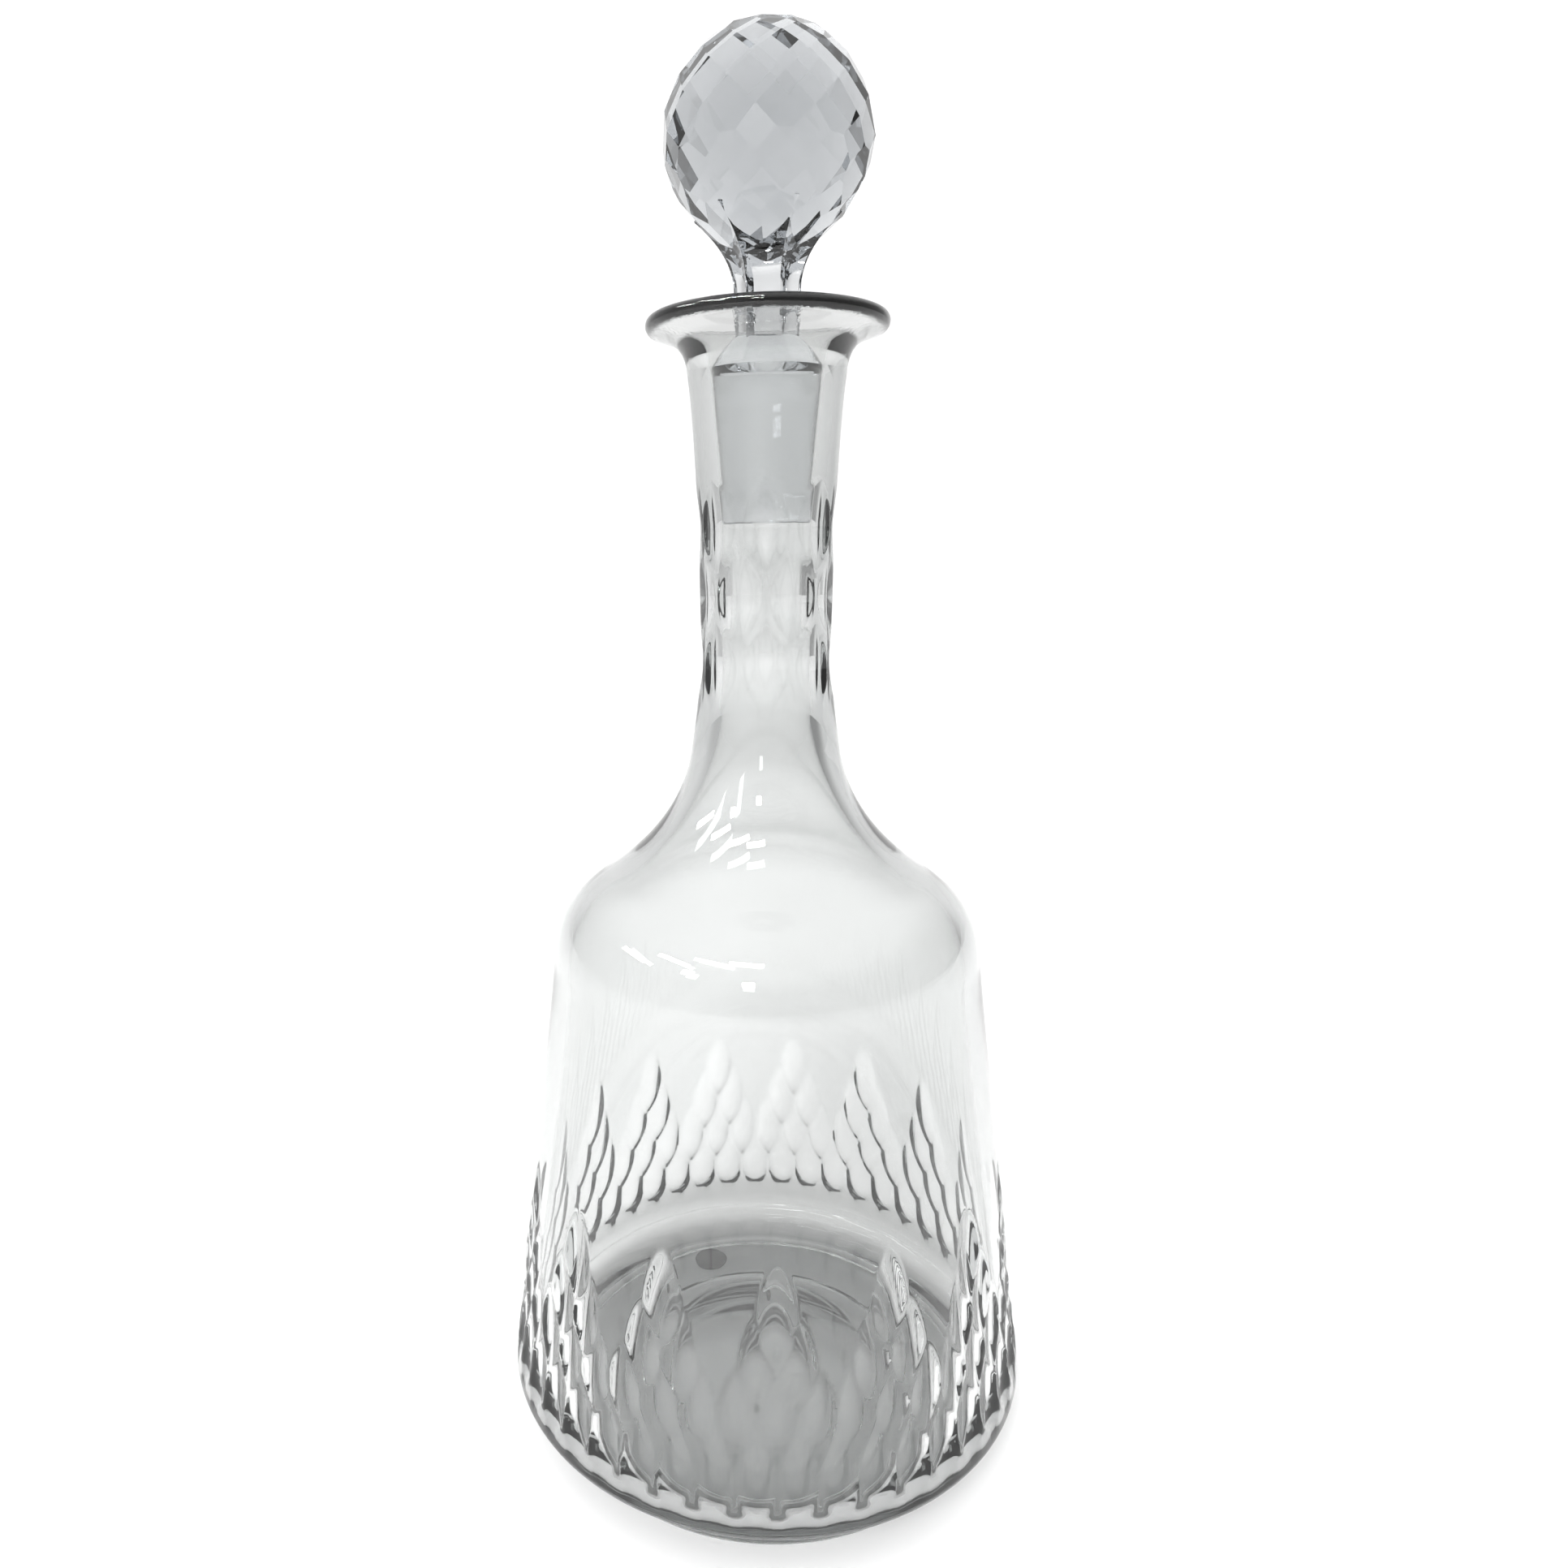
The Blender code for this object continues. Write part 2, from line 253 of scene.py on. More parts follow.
def drop_depth(turn, z, radius):
    """Depth of the body's cuts at angle turn (radians from the front) and height z, in mm."""
    depth = np.zeros(len(turn))
    pitch = 2.0 * math.pi / DROPS
    flame = 2.0 * math.pi / FLAMES
    start = math.radians(FLAME_TURN)
    for row in range(DROP_ROWS):
        widest = DROP_LOW + DROP_DOWN + DROP_STEP * row
        offset = 0.5 * pitch if row in (0, 2) else 0.0
        from_flame = (turn - start + flame / 2) % flame - flame / 2
        for k in (-2, -1, 0, 1, 2):
            place = offset + k * pitch
            if row == 2 and abs(place) > 0.6 * pitch:
                continue
            if row == 3 and k != 0:
                continue
            across = (from_flame - place) * radius
            up = z - widest
            low = 1.0 - (np.minimum(up, 0.0) / DROP_DOWN) ** 2
            high = np.clip(1.0 - (np.maximum(up, 0.0) / DROP_UP) ** 2, 0.0, None) ** DROP_POINT
            shape = np.where(up < 0.0, low, high) - (across / DROP_HALF) ** 2
            depth = np.maximum(depth, DROP_DEPTH * shape)
    return depth


def olive_depth(turn, z, radius):
    """Depth of the neck's cuts, as drop_depth gives the body's."""
    depth = np.zeros(len(turn))
    pitch = 2.0 * math.pi / OLIVES
    for row, centre in enumerate(OLIVE_ROWS):
        offset = 0.5 * pitch * (row % 2)
        across = ((turn - offset + pitch / 2) % pitch - pitch / 2) * radius
        up = (z - centre) / OLIVE_LONG
        shape = np.clip(1.0 - up**2, 0.0, None) ** 2 - (across / OLIVE_HALF) ** 2
        depth = np.maximum(depth, OLIVE_DEPTH * shape)
    return depth


def turns(steps):
    """Angle of each vertex of a ring from the front, in radians."""
    angle = np.arange(steps) * 2.0 * math.pi / steps
    return (angle + math.pi / 2 + math.pi) % (2.0 * math.pi) - math.pi


def ring_points(r, z, steps, normal=(0.0, 0.0), depth=0.0):
    """One ring of vertices, pushed in by depth against the outline's normal."""
    angle = np.arange(steps) * 2.0 * math.pi / steps
    rr = np.full(steps, r) - depth * normal[0]
    zz = np.full(steps, z) - depth * normal[1]
    return np.column_stack([rr * np.cos(angle), rr * np.sin(angle), zz])


def stitch(a, b):
    """Faces between two rings given as index lists; their lengths are equal or one is a multiple."""
    n, m = len(a), len(b)
    faces = []
    if n == m:
        for k in range(n):
            j = (k + 1) % n
            faces.append((a[k], a[j], b[j], b[k]))
        return faces
    if n > m:
        return [tuple(reversed(f)) for f in stitch(b, a)]
    ratio = m // n
    for k in range(n):
        j = (k + 1) % n
        half = ratio // 2
        for i in range(ratio):
            low = b[k * ratio + i]
            high = b[(k * ratio + i + 1) % m]
            faces.append((a[k] if i < half else a[j], high, low))
        faces.append((a[k], a[j], b[k * ratio + half]))
    return faces


def new_object(name, verts, faces, material, sharp_deg):
    """A smooth mesh whose edges sharper than sharp_deg stay creased."""
    mesh = bpy.data.meshes.new(name)
    mesh.from_pydata([tuple(v) for v in verts], [], faces)
    mesh.validate()
    work = bmesh.new()
    work.from_mesh(mesh)
    bmesh.ops.recalc_face_normals(work, faces=work.faces)
    work.to_mesh(mesh)
    work.free()
    mesh.materials.append(material)
    mesh.shade_smooth()
    mesh.set_sharp_from_angle(angle=math.radians(sharp_deg))
    thing = bpy.data.objects.new(name, mesh)
    bpy.context.scene.collection.objects.link(thing)
    return thing


def lathe(name, rings, material, sharp_deg):
    """rings: a list of (n, 3) arrays in mm; a single point closes an end on the axis."""
    verts = np.concatenate(rings) * MM
    starts = np.cumsum([0] + [len(r) for r in rings])
    faces = []
    for i in range(len(rings) - 1):
        a = list(range(starts[i], starts[i + 1]))
        b = list(range(starts[i + 1], starts[i + 2]))
        if len(a) == 1:
            faces += [(a[0], b[(k + 1) % len(b)], b[k]) for k in range(len(b))]
        elif len(b) == 1:
            faces += [(a[k], a[(k + 1) % len(a)], b[0]) for k in range(len(a))]
        else:
            faces += stitch(a, b)
    return new_object(name, verts, faces, material, sharp_deg)


def painted_cut_shade(share):
    """Colour factor of a cut: painted shade along its edge, painted light in the middle; 1 outside it."""
    edge = np.exp(-share / EDGE_SHARE)
    return np.where(share > 0.0, 1.0 + CUT_PAINTED_LIGHT * (1.0 - edge) - EDGE_PAINTED_SHADE * edge, 1.0)


def painted_heel_shade(z):
    """Colour factor of the outside at height z in mm: painted shade that darkens the thick heel."""
    if HEEL_BAND[0] <= z <= HEEL_BAND[1]:
        return HEEL_PAINTED_SHADE
    if HEEL_BAND[1] < z < HEEL_BAND[2]:
        return HEEL_PAINTED_SHADE + (1.0 - HEEL_PAINTED_SHADE) * (z - HEEL_BAND[1]) / (HEEL_BAND[2] - HEEL_BAND[1])
    return 1.0


def make_body(material):
    """The turned body with its cuts, and a colour factor stored at every vertex: painted shade on the
    heel, painted light and shade on the cuts.
    """
    rings = [np.array([[0.0, 0.0, base_outline()[0][1]]])]
    rings += [ring_points(r, z, COARSE) for r, z in base_outline()[1:]]
    side = resample(side_curve(), row_step)
    along = np.gradient(side, axis=0)
    along /= np.linalg.norm(along, axis=1)[:, None]
    # colour factor of each ring: painted shade on the heel's outside, painted light and shade on the cuts
    cuts = [painted_heel_shade(z) if r >= FOOT_R - 0.5 else 1.0 for r, z in base_outline()]
    for (r, z), (dr, dz) in zip(side[1:], along[1:]):
        normal = (dz, -dr)
        if BAND[0] <= z <= BAND[1]:
            depth = drop_depth(turns(BAND_STEPS), z, r)
            rings.append(ring_points(r, z, BAND_STEPS, normal, depth))
            cuts.append(painted_cut_shade(depth / DROP_DEPTH) * painted_heel_shade(z))
        elif OLIVE_BAND[0] <= z <= OLIVE_BAND[1]:
            depth = olive_depth(turns(NECK_STEPS), z, r)
            rings.append(ring_points(r, z, NECK_STEPS, normal, depth))
            cuts.append(painted_cut_shade(OLIVE_SHADE * depth / OLIVE_DEPTH))
        else:
            rings.append(ring_points(r, z, COARSE))
            cuts.append(1.0)
    lip = lip_outline()
    rings += [ring_points(r, z, COARSE) for r, z in lip]
    rings += [ring_points(r, z, COARSE) for r, z in bore_outline()]
    rings.append(np.array([[0.0, 0.0, FLOOR_Z]]))
    cuts += [1.0] * (len(rings) - len(cuts))
    thing = lathe("glass_decanter_body", rings, material, 35)
    shades = np.concatenate([np.broadcast_to(shade, len(ring)) for ring, shade in zip(rings, cuts)])
    mark = thing.data.attributes.new(PAINTED_SHADE_NAME, "FLOAT", "POINT")
    mark.data.foreach_set("value", shades.astype(np.float32))
    return thing


# ---------------------------------------------------------------- stopper, in mm

PLUG_SHOULDER = 5.5             # height of the cone between plug and stem
PLUG_STEPS = 96
STEM_Z = 255.0                  # the stem's waist
STEM_R = 6.8                    # out to the edges between its panels
BALL_Z = 281.0
BALL_R = 20.6
TABLE_HEIGHT = 17.4             # flat top of the ball, above its centre
FACET_DISTANCE = 20.0           # from the ball's centre to the flat of each facet
LOW_FACET_DISTANCE = 19.3
FACETS_AROUND = 12
STEM_PANELS = 6
PANEL_STEPS = 8
STEM_LEVELS = 24
STEM_HOLLOW = 0.06              # how far a panel is hollowed, as a share of its radius
STEM_FLARE = 10.0               # how much the stem widens up into the ball
STEM_TAPER = 0.5                # and how much it narrows down to the plug
FLARE_TOP = 0.55                # the flare ends this share of the ball's radius below its centre
STEM_TOP = 0.62                 # and the stem itself this share below it, inside the ball
STEM_TURN = -8.0                # degrees about the axis
BALL_TURN = 9.0


def keep_below(work, centre, normal):
    """Cut away what lies past a plane and close the hole."""
    geometry = work.verts[:] + work.edges[:] + work.faces[:]
    cut = bmesh.ops.bisect_plane(
        work, geom=geometry, dist=1e-7, plane_co=centre, plane_no=normal, clear_outer=True
    )
    edges = [e for e in cut["geom_cut"] if isinstance(e, bmesh.types.BMEdge)]
    if edges:
        bmesh.ops.contextual_create(work, geom=edges)


def facets():
    """Normal and distance of each facet: rows of lozenges up and down from the ball's middle."""
    half_step = 180.0 / FACETS_AROUND
    rows = [(0.0, 0.0)]
    latitude = 0.0
    shift = 0.0
    for _ in range(4):
        latitude += half_step * math.cos(math.radians(latitude + half_step * 0.45))
        shift = half_step - shift
        rows.append((latitude, shift))
        rows.append((-latitude, shift))
    found = []
    for latitude, first in rows:
        tilt = math.radians(latitude)
        distance = LOW_FACET_DISTANCE if latitude < -20.0 else FACET_DISTANCE
        for k in range(FACETS_AROUND):
            turn = math.radians(BALL_TURN + first + 360.0 * k / FACETS_AROUND)
            flat = math.cos(tilt)
            normal = Vector((flat * math.cos(turn), flat * math.sin(turn), math.sin(tilt)))
            found.append((normal, distance))
    return found


def make_ball():
    """The cut ball: a block with every facet's plane cut off it."""
    mesh = bpy.data.meshes.new("ball")
    work = bmesh.new()
    bmesh.ops.create_cube(work, size=2.2 * BALL_R * MM)
    bmesh.ops.translate(work, vec=(0.0, 0.0, BALL_Z * MM), verts=work.verts)
    centre = Vector((0.0, 0.0, BALL_Z * MM))
    for normal, distance in facets():
        keep_below(work, centre + normal * distance * MM, normal)
    up = Vector((0.0, 0.0, 1.0))
    keep_below(work, centre + up * TABLE_HEIGHT * MM, up)
    bmesh.ops.recalc_face_normals(work, faces=work.faces)
    work.to_mesh(mesh)
    work.free()
    thing = bpy.data.objects.new("ball", mesh)
    bpy.context.scene.collection.objects.link(thing)
    return thing


def stem_radius(z):
    """Radius out to the stem's edges at height z: it widens up from the waist into the ball."""
    low = SEAT_HIGH_Z
    high = BALL_Z - BALL_R * FLARE_TOP
    if z < STEM_Z:
        t = (STEM_Z - z) / (STEM_Z - low)
        return STEM_R - STEM_TAPER * math.sin(math.pi * 0.5 * t)
    t = (z - STEM_Z) / (high - STEM_Z)
    return STEM_R + STEM_FLARE * t**2


def make_stem(material):
    """The six-panelled stem, from inside the plug's shoulder into the ball."""
    low = SEAT_HIGH_Z + 0.2
    high = BALL_Z - BALL_R * STEM_TOP
    rings = []
    for level in range(STEM_LEVELS + 1):
        z = low + (high - low) * level / STEM_LEVELS
        corner = stem_radius(z)
        ring = []
        for k in range(STEM_PANELS):
            for step in range(PANEL_STEPS):
                across = step / PANEL_STEPS
                a, b = (math.radians(STEM_TURN + 360.0 * (k + n) / STEM_PANELS) for n in (0, 1))
                flat_x = math.cos(a) * (1.0 - across) + math.cos(b) * across
                flat_y = math.sin(a) * (1.0 - across) + math.sin(b) * across
                hollow = 1.0 - STEM_HOLLOW * 4.0 * across * (1.0 - across)
                ring.append((corner * flat_x * hollow, corner * flat_y * hollow, z))
        rings.append(np.array(ring))
    rings.insert(0, np.array([[0.0, 0.0, low]]))
    rings.append(np.array([[0.0, 0.0, high]]))
    return lathe("stem", rings, material, 20)


def plug_outline():
    """The ground plug with its rounded lower end and the cone up to the stem."""
    end = 0.6
    return [
        (PLUG_LOW_R - end, SEAT_LOW_Z),
        (PLUG_LOW_R - 0.2, SEAT_LOW_Z + 0.2),
        (PLUG_LOW_R, SEAT_LOW_Z + end),
        (PLUG_HIGH_R, SEAT_HIGH_Z),
        (PLUG_HIGH_R - 0.3, SEAT_HIGH_Z + 0.5),
        (STEM_R * 0.85, SEAT_HIGH_Z + PLUG_SHOULDER),
    ]


def make_plug(material):
    """The turned plug, which the stem and the ball are then joined to."""
    rings = [np.array([[0.0, 0.0, SEAT_LOW_Z]])]
    rings += [ring_points(r, z, PLUG_STEPS) for r, z in plug_outline()]
    rings.append(np.array([[0.0, 0.0, SEAT_HIGH_Z + PLUG_SHOULDER]]))
    return lathe("glass_stopper", rings, material, 25)


def join(target, tool):
    """Unite the tool into the target and remove the tool."""
    union = target.modifiers.new("join_" + tool.name, "BOOLEAN")
    union.operation = "UNION"
    union.solver = "EXACT"
    union.object = tool
    bpy.context.view_layer.objects.active = target
    bpy.ops.object.modifier_apply(modifier=union.name)
    bpy.data.objects.remove(tool, do_unlink=True)


def make_stopper(material):
    """Ball, stem and plug as one piece of glass."""
    stopper = make_plug(material)
    join(stopper, make_stem(material))
    join(stopper, make_ball())
    while len(stopper.data.materials) > 1:
        stopper.data.materials.pop()
    for face in stopper.data.polygons:
        face.material_index = 0
    stopper.data.shade_smooth()
    stopper.data.set_sharp_from_angle(angle=math.radians(9))
    return stopper


# ---------------------------------------------------------------- label, in mm

LABEL_THICK = 0.25
LABEL_WOBBLE = 1.035            # most that the uneven edge stands out
LABEL_STEPS = 64


def make_label(material):
    """A thin round of paper with a slightly uneven edge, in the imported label's place."""
    low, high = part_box("base_label")
    top = high.z / MM
    centre = ((low.x + high.x) / 2.0 / MM, (low.y + high.y) / 2.0 / MM)
    half_x = (high.x - low.x) / 2.0 / MM / LABEL_WOBBLE
    half_y = (high.y - low.y) / 2.0 / MM / LABEL_WOBBLE
    shape = []
    for k in range(LABEL_STEPS):
        angle = 2.0 * math.pi * k / LABEL_STEPS
        wobble = 1.0 + 0.02 * math.sin(3 * angle + 0.7) + 0.015 * math.sin(5 * angle)
        shape.append((half_x * wobble * math.cos(angle), half_y * wobble * math.sin(angle)))
    bottom = top - LABEL_THICK
    rings = [np.array([[*centre, bottom]])]
    for scale, z in ((0.98, bottom), (1.0, (bottom + top) / 2.0), (0.98, top)):
        rings.append(np.array([(centre[0] + x * scale, centre[1] + y * scale, z) for x, y in shape]))
    rings.append(np.array([[*centre, top]]))
    return lathe("paper_label", rings, material, 35)


# ---------------------------------------------------------------- materials

GLASS_IOR = 1.54
GRAIN_SCALE = 1400.0

BODY_COLOUR = (0.95, 0.955, 0.952)
BODY_GREY = (0.31, 0.33, 0.325)     # colour that long paths through the glass turn to
BODY_DENSITY = 58.0
# painted shade on the rim: the colour darkens from 238 mm, fully from 246 mm up
BODY_RIM_SHADE = (0.238, 0.246, 1.0, 0.80)
BODY_WORN = (0.2462, 0.2472, 6.0)

STOPPER_COLOUR = (0.98, 0.985, 0.99)
STOPPER_GREY = (0.30, 0.33, 0.36)
STOPPER_DENSITY = 24.0
# painted shade: the colour darkens from 240 mm, fully from 262 mm, over the stem and ball
STOPPER_TOP_SHADE = (0.240, 0.262, 1.0, 0.84)
STOPPER_WORN = (1.0, 1.1, 0.0)      # above the piece, so none of it is worn

PAPER_DARK = (0.02, 0.016, 0.013, 1.0)
PAPER_LIGHT = (0.06, 0.047, 0.04, 1.0)


def glass_material(name, colour, grey, density, height_shade, worn_band, wave_scale, wave_strength, painted_shade_name=""):
    """Clear glass with slightly uneven colour and surface.

    height_shade: low and high height in m, and the colour's factors below and above them, with a smooth
    change between: painted shade that darkens the top of the piece. worn_band: low and high height in m,
    and the strength of the fine relief above them. painted_shade_name: the mesh attribute that holds one
    more factor, of painted light and shade, if the piece has it.
    """
    material = bpy.data.materials.new(name)
    material.use_nodes = True
    nodes = material.node_tree.nodes
    links = material.node_tree.links
    shader = nodes["Principled BSDF"]
    shader.inputs["Transmission Weight"].default_value = 1.0
    shader.inputs["IOR"].default_value = GLASS_IOR
    shader.inputs["Roughness"].default_value = 0.0
    inside = nodes.new("ShaderNodeVolumeAbsorption")
    inside.inputs["Color"].default_value = (*grey, 1.0)
    inside.inputs["Density"].default_value = density
    links.new(inside.outputs["Volume"], nodes["Material Output"].inputs["Volume"])
    place = nodes.new("ShaderNodeTexCoord")
    noise = nodes.new("ShaderNodeTexNoise")
    noise.inputs["Scale"].default_value = 30.0
    noise.inputs["Detail"].default_value = 3.0
    links.new(place.outputs["Object"], noise.inputs["Vector"])
    ramp = nodes.new("ShaderNodeValToRGB")
    ramp.color_ramp.elements[0].position = 0.3
    ramp.color_ramp.elements[1].position = 0.7
    ramp.color_ramp.elements[0].color = (*[c * 0.985 for c in colour], 1.0)
    ramp.color_ramp.elements[1].color = (*[min(1.0, c * 1.01) for c in colour], 1.0)
    links.new(noise.outputs["Fac"], ramp.inputs["Fac"])
    split = nodes.new("ShaderNodeSeparateXYZ")
    links.new(place.outputs["Object"], split.inputs["Vector"])
    height = nodes.new("ShaderNodeMapRange")
    height.interpolation_type = "SMOOTHSTEP"
    height.inputs["From Min"].default_value = height_shade[0]
    height.inputs["From Max"].default_value = height_shade[1]
    height.inputs["To Min"].default_value = height_shade[2]
    height.inputs["To Max"].default_value = height_shade[3]
    links.new(split.outputs["Z"], height.inputs["Value"])
    shade = nodes.new("ShaderNodeVectorMath")
    shade.operation = "SCALE"
    links.new(ramp.outputs["Color"], shade.inputs["Vector"])
    both = nodes.new("ShaderNodeMath")
    both.operation = "MULTIPLY"
    both.inputs[1].default_value = 1.0
    links.new(height.outputs["Result"], both.inputs[0])
    if painted_shade_name:
        cut = nodes.new("ShaderNodeAttribute")
        cut.attribute_name = painted_shade_name
        links.new(cut.outputs["Fac"], both.inputs[1])
    links.new(both.outputs["Value"], shade.inputs["Scale"])
    links.new(shade.outputs["Vector"], shader.inputs["Base Color"])
    wave = nodes.new("ShaderNodeTexNoise")
    wave.inputs["Scale"].default_value = wave_scale
    wave.inputs["Detail"].default_value = 2.0
    links.new(place.outputs["Object"], wave.inputs["Vector"])
    grain = nodes.new("ShaderNodeTexNoise")
    grain.inputs["Scale"].default_value = GRAIN_SCALE
    links.new(place.outputs["Object"], grain.inputs["Vector"])
    worn = nodes.new("ShaderNodeMapRange")
    worn.interpolation_type = "SMOOTHSTEP"
    worn.inputs["From Min"].default_value = worn_band[0]
    worn.inputs["From Max"].default_value = worn_band[1]
    worn.inputs["To Max"].default_value = worn_band[2]
    links.new(split.outputs["Z"], worn.inputs["Value"])
    rough = nodes.new("ShaderNodeMath")
    rough.operation = "MULTIPLY"
    links.new(grain.outputs["Fac"], rough.inputs[0])
    links.new(worn.outputs["Result"], rough.inputs[1])
    relief = nodes.new("ShaderNodeMath")
    relief.operation = "ADD"
    links.new(wave.outputs["Fac"], relief.inputs[0])
    links.new(rough.outputs["Value"], relief.inputs[1])
    bump = nodes.new("ShaderNodeBump")
    bump.inputs["Strength"].default_value = wave_strength
    bump.inputs["Distance"].default_value = 0.0005
    links.new(relief.outputs["Value"], bump.inputs["Height"])
    links.new(bump.outputs["Normal"], shader.inputs["Normal"])
    return material


def paper_material():
    """Brown, worn paper with a fibrous surface."""
    material = bpy.data.materials.new("label_paper_worn")
    material.use_nodes = True
    nodes = material.node_tree.nodes
    links = material.node_tree.links
    shader = nodes["Principled BSDF"]
    shader.inputs["Roughness"].default_value = 0.85
    place = nodes.new("ShaderNodeTexCoord")
    fibre = nodes.new("ShaderNodeTexNoise")
    fibre.inputs["Scale"].default_value = 900.0
    fibre.inputs["Detail"].default_value = 6.0
    links.new(place.outputs["Object"], fibre.inputs["Vector"])
    ramp = nodes.new("ShaderNodeValToRGB")
    ramp.color_ramp.elements[0].position = 0.3
    ramp.color_ramp.elements[0].color = PAPER_DARK
    ramp.color_ramp.elements[1].position = 0.75
    ramp.color_ramp.elements[1].color = PAPER_LIGHT
    links.new(fibre.outputs["Fac"], ramp.inputs["Fac"])
    links.new(ramp.outputs["Color"], shader.inputs["Base Color"])
    bump = nodes.new("ShaderNodeBump")
    bump.inputs["Strength"].default_value = 0.3
    bump.inputs["Distance"].default_value = 0.0002
    links.new(fibre.outputs["Fac"], bump.inputs["Height"])
    links.new(bump.outputs["Normal"], shader.inputs["Normal"])
    return material


body_glass = glass_material(
    "clear_body_glass",
    colour=BODY_COLOUR,
    grey=BODY_GREY,
    density=BODY_DENSITY,
    height_shade=BODY_RIM_SHADE,
    worn_band=BODY_WORN,
    wave_scale=18.0,
    wave_strength=0.03,
    painted_shade_name=PAINTED_SHADE_NAME,
)
grey_glass = glass_material(
    "grey_stopper_glass",
    colour=STOPPER_COLOUR,
    grey=STOPPER_GREY,
    density=STOPPER_DENSITY,
    height_shade=STOPPER_TOP_SHADE,
    worn_band=STOPPER_WORN,
    wave_scale=25.0,
    wave_strength=0.02,
)

body = make_body(body_glass)
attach(body, "decanter")
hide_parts("decanter_body")

stopper = make_stopper(grey_glass)
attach(stopper, "stopper")
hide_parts("stopper")

label = make_label(paper_material())
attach(label, "decanter")
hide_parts("base_label")

# ---------------------------------------------------------------- floor, light and camera

FLOOR_HALF = 40.0
FLOOR_DROP = 0.0002
FLOOR_COLOURS = ((0.95, 0.95, 0.95, 1.0), (0.97, 0.97, 0.97, 1.0))


def make_floor():
    """A large pale floor just under the foot ring."""
    corners = [(x * FLOOR_HALF, y * FLOOR_HALF, 0.0) for x, y in ((-1, -1), (1, -1), (1, 1), (-1, 1))]
    mesh = bpy.data.meshes.new("floor")
    mesh.from_pydata(corners, [], [(0, 1, 2, 3)])
    material = bpy.data.materials.new("pale_floor")
    material.use_nodes = True
    nodes = material.node_tree.nodes
    links = material.node_tree.links
    shader = nodes["Principled BSDF"]
    shader.inputs["Roughness"].default_value = 0.9
    noise = nodes.new("ShaderNodeTexNoise")
    noise.inputs["Scale"].default_value = 40.0
    place = nodes.new("ShaderNodeTexCoord")
    links.new(place.outputs["Object"], noise.inputs["Vector"])
    ramp = nodes.new("ShaderNodeValToRGB")
    for element, colour in zip(ramp.color_ramp.elements, FLOOR_COLOURS):
        element.color = colour
    links.new(noise.outputs["Fac"], ramp.inputs["Fac"])
    links.new(ramp.outputs["Color"], shader.inputs["Base Color"])
    mesh.materials.append(material)
    thing = bpy.data.objects.new("floor", mesh)
    bpy.context.scene.collection.objects.link(thing)
    thing.location.z = -FLOOR_DROP
    return thing


# Brightness of the world by direction
FAR_WHITE = 1.13
SIDE_LEFT = 0.8
SIDE_RIGHT = 0.45
TOP_WHITE = 1.4
FRONT_DARK = 0.45
LEFT_WHITE = 1.0


def make_world():
    """A white studio: bright overhead, white behind the object, darker behind the camera.

    Directions run from -1 to 1: X to the right, Y away from the front, Z up.
    """
    world = bpy.data.worlds.new("studio")
    bpy.context.scene.world = world
    world.use_nodes = True
    nodes = world.node_tree.nodes
    links = world.node_tree.links
    back = nodes["Background"]
    place = nodes.new("ShaderNodeTexCoord")
    split = nodes.new("ShaderNodeSeparateXYZ")
    links.new(place.outputs["Generated"], split.inputs["Vector"])

    def ramp(axis, start, end, low, high):
        node = nodes.new("ShaderNodeMapRange")
        node.interpolation_type = "SMOOTHSTEP"
        node.inputs["From Min"].default_value = start
        node.inputs["From Max"].default_value = end
        node.inputs["To Min"].default_value = low
        node.inputs["To Max"].default_value = high
        links.new(split.outputs[axis], node.inputs["Value"])
        return node.outputs["Result"]

    def blend(share, a, b):
        node = nodes.new("ShaderNodeMix")
        node.data_type = "FLOAT"
        links.new(share, node.inputs["Factor"])
        for value, socket in ((a, node.inputs["A"]), (b, node.inputs["B"])):
            if isinstance(value, float):
                socket.default_value = value
            else:
                links.new(value, socket)
        return node.outputs["Result"]

    front = ramp("X", -0.75, 0.05, LEFT_WHITE, FRONT_DARK)
    left = blend(ramp("X", -0.85, -0.52, 1.0, 0.0), FAR_WHITE, SIDE_LEFT)
    far = blend(ramp("X", 0.52, 0.85, 0.0, 1.0), left, SIDE_RIGHT)
    around = blend(ramp("Y", -0.45, 0.1, 0.0, 1.0), front, far)
    whole = blend(ramp("Z", 0.35, 0.85, 0.0, 1.0), around, TOP_WHITE)
    back.inputs["Color"].default_value = (1.0, 1.0, 1.0, 1.0)
    links.new(whole, back.inputs["Strength"])


def area_light(name, place, aim, size, power):
    """A rectangular lamp at place that points at aim."""
    data = bpy.data.lights.new(name, "AREA")
    data.shape = "RECTANGLE"
    data.size, data.size_y = size
    data.energy = power
    lamp = bpy.data.objects.new(name, data)
    lamp.location = place
    lamp.rotation_mode = "QUATERNION"
    lamp.rotation_quaternion = (Vector(aim) - Vector(place)).to_track_quat("-Z", "Y")
    bpy.context.scene.collection.objects.link(lamp)
    return lamp


SENSOR = 36.0
IMAGE = 1932.0
FOCAL = 1350.0 / IMAGE * SENSOR
# angles in radians: down from level, about the line of sight, and away from straight ahead
TILT = 0.253779
ROLL = 0.0133955
SWING = -0.067284
SHIFT = ((IMAGE / 2 - 854.79) / IMAGE, (1030.198 - IMAGE / 2) / IMAGE)
CAMERA_PLACE = (0.0, -0.240, 0.204451)


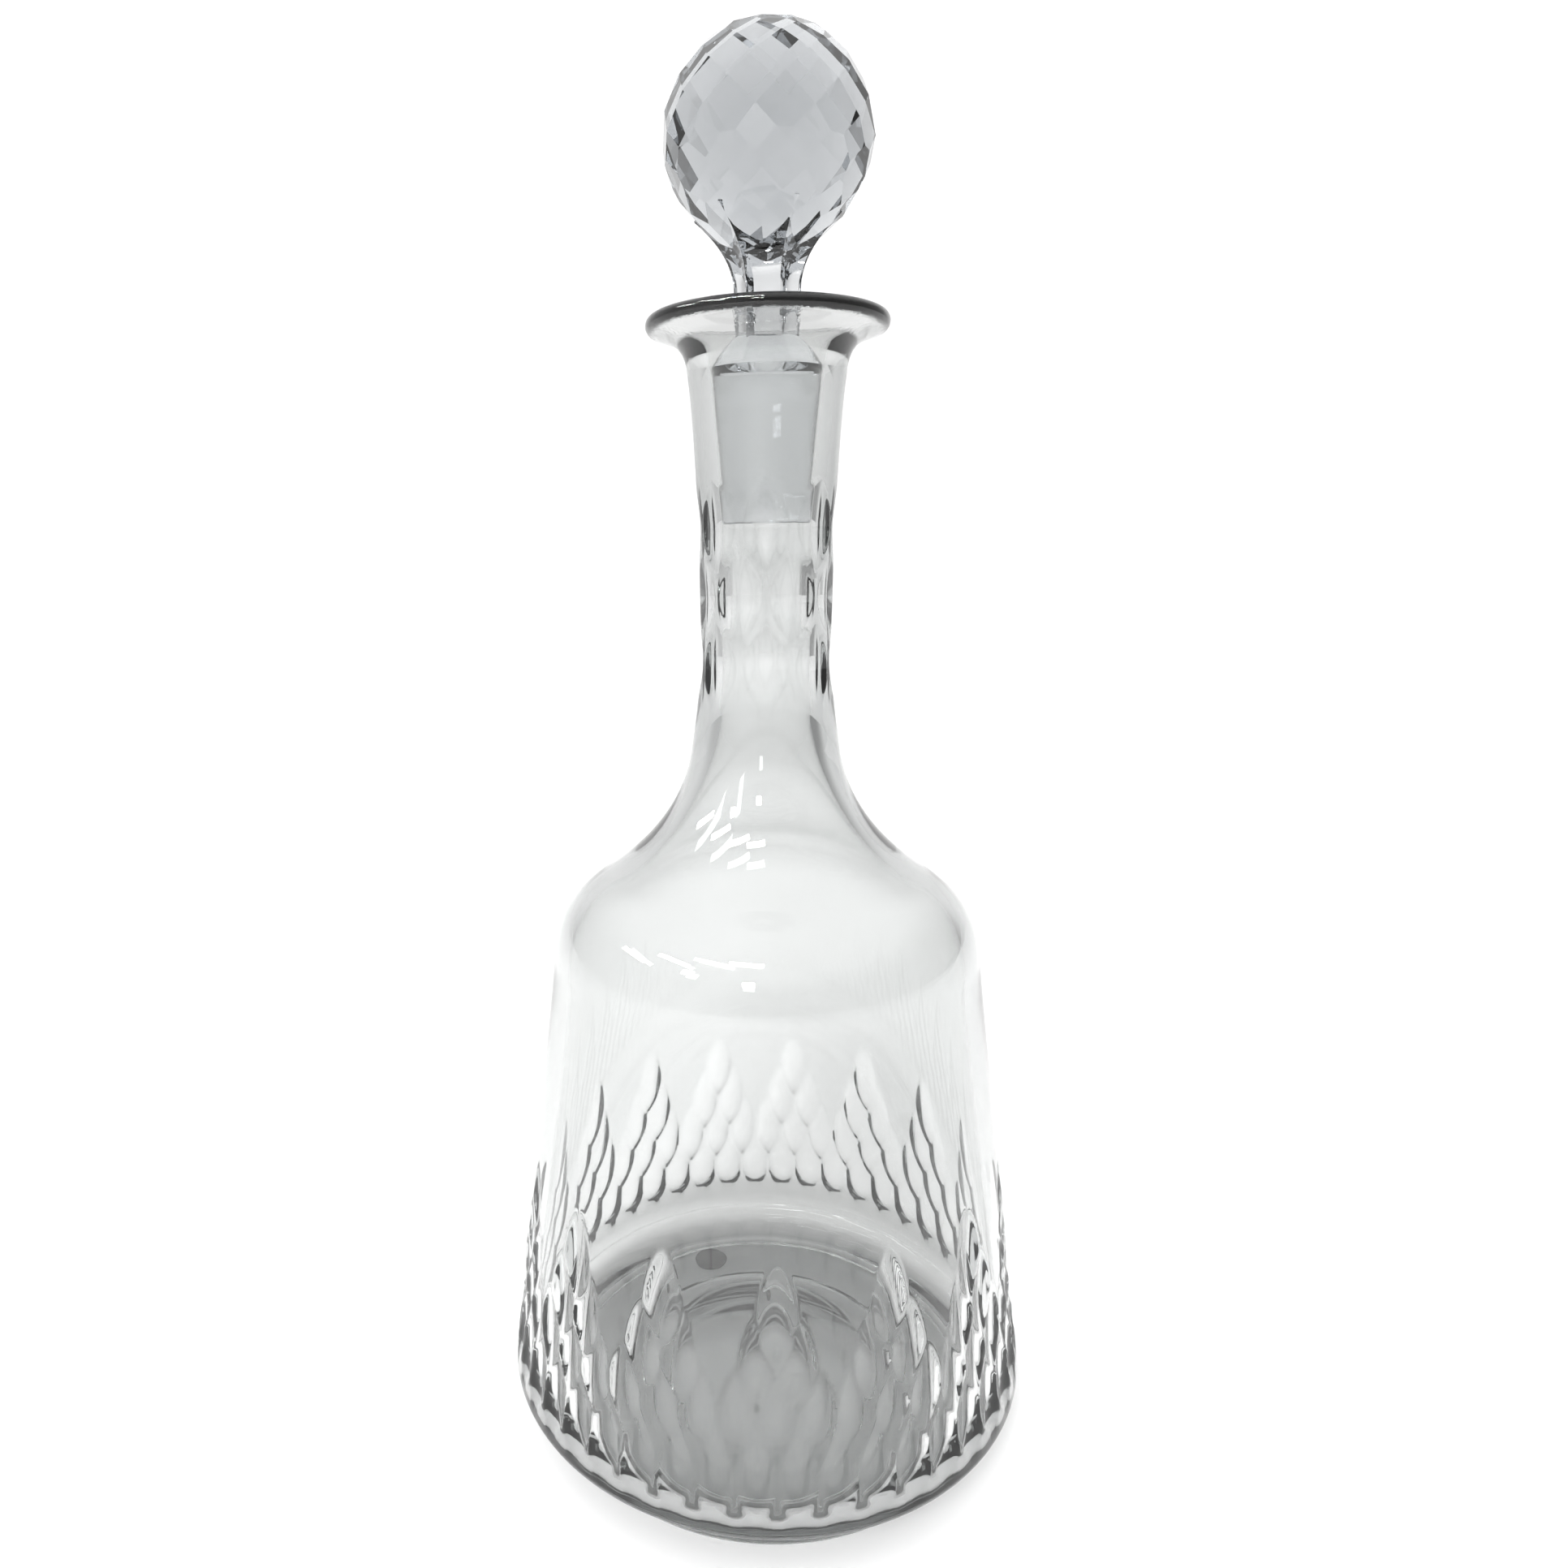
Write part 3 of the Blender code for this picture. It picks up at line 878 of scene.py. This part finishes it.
def make_camera():
    """A near camera at the height of the neck, tilted down, with its lens shifted."""
    level = Vector((math.sin(SWING), math.cos(SWING), 0.0))
    side = Vector((math.cos(SWING), -math.sin(SWING), 0.0))
    up = Vector((0.0, 0.0, 1.0))
    ahead = math.cos(TILT) * level - math.sin(TILT) * up
    above = math.sin(TILT) * level + math.cos(TILT) * up
    right = math.cos(ROLL) * side - math.sin(ROLL) * above
    top = math.sin(ROLL) * side + math.cos(ROLL) * above
    data = bpy.data.cameras.new("camera")
    data.sensor_width = SENSOR
    data.lens = FOCAL
    data.shift_x, data.shift_y = SHIFT
    data.clip_start = 0.01
    data.clip_end = 50.0
    camera = bpy.data.objects.new("camera", data)
    bpy.context.scene.collection.objects.link(camera)
    turned = Matrix((right, top, -ahead)).transposed().to_4x4()
    camera.matrix_world = Matrix.Translation(CAMERA_PLACE) @ turned
    bpy.context.scene.camera = camera


# Windows that light no matt surface: degrees from the front, degrees up, size in m
PANES = (
    (-84.0, 33.0, (0.50, 0.09)),
    (-62.0, 45.0, (0.50, 0.09)),
    (-38.0, 54.0, (0.50, 0.09)),
    (-14.0, 58.0, (0.40, 0.09)),
    (-46.0, 37.0, (0.16, 0.16)),
    (-9.0, 33.0, (0.16, 0.16)),
)
PANE_AWAY = 1.6                 # m from their aim
PANE_GLOW = 200.0               # W for each square metre
PANE_AIM = (0.0, 0.0, 0.13)
FILL = 50.0                     # W
FILL_PLACE = (-0.6, -2.0, 1.3)
FILL_SIZE = (1.2, 1.2)
BOUNCES = 24                    # enough to get through all the walls of glass

make_floor()
make_world()
for number, (turn_deg, rise_deg, size) in enumerate(PANES):
    turn = math.radians(turn_deg)
    rise = math.radians(rise_deg)
    spot = (
        PANE_AWAY * math.sin(turn) * math.cos(rise),
        -PANE_AWAY * math.cos(turn) * math.cos(rise),
        PANE_AIM[2] + PANE_AWAY * math.sin(rise),
    )
    pane = area_light(f"window_{number}", spot, PANE_AIM, size, PANE_GLOW * size[0] * size[1])
    pane.visible_diffuse = False
fill = area_light("front_fill", FILL_PLACE, (0.0, 0.0, 0.0), FILL_SIZE, FILL)
fill.visible_glossy = False
fill.visible_transmission = False
make_camera()
scene = bpy.context.scene
scene.view_settings.view_transform = "Standard"
scene.cycles.max_bounces = BOUNCES
scene.cycles.transmission_bounces = BOUNCES
